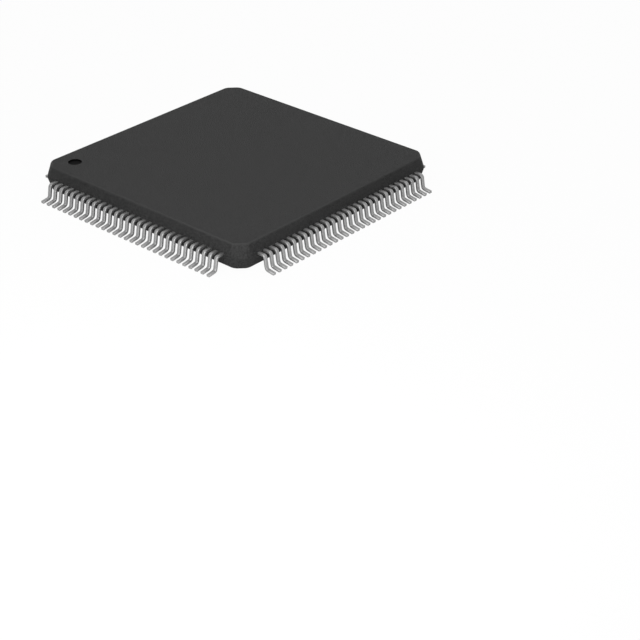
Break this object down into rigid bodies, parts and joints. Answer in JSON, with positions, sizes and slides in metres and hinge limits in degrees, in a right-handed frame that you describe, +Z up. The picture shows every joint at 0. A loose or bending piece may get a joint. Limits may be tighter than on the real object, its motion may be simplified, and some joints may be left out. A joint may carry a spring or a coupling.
{
  "type": "integrated circuit",
  "caption": "Square low-profile quad flat package: black moulded body with chamfered corners, pin-1 mark and fine-pitch gull-wing leads on four sides, around a wire-bonded die.",
  "frame": {"origin": "middle of the seating plane that the lead tips stand on", "axes": "+Z up, square to the board; pin 1 is by the corner towards -X and +Y, and the pins count counter-clockwise seen from above"},
  "size_m": [0.016, 0.016, 0.0015],
  "materials": {
    "mould_compound": "black epoxy moulding compound, fine spark-eroded texture",
    "tin_plating": "matte tin plating on copper alloy",
    "bare_copper": "bare rolled copper alloy",
    "silver_glue": "silver-filled epoxy",
    "silicon": "polished silicon with a fine metal pattern",
    "gold_wire": "bright gold"
  },
  "bodies": {
    "root": {"package_body": "mould_compound", "leads_left": "tin_plating", "leads_front": "tin_plating", "leads_right": "tin_plating", "leads_back": "tin_plating", "die_paddle": "bare_copper", "die_attach": "silver_glue", "die": "silicon", "bond_wires_left": "gold_wire", "bond_wires_front": "gold_wire", "bond_wires_right": "gold_wire", "bond_wires_back": "gold_wire"}
  },
  "joints": []
}
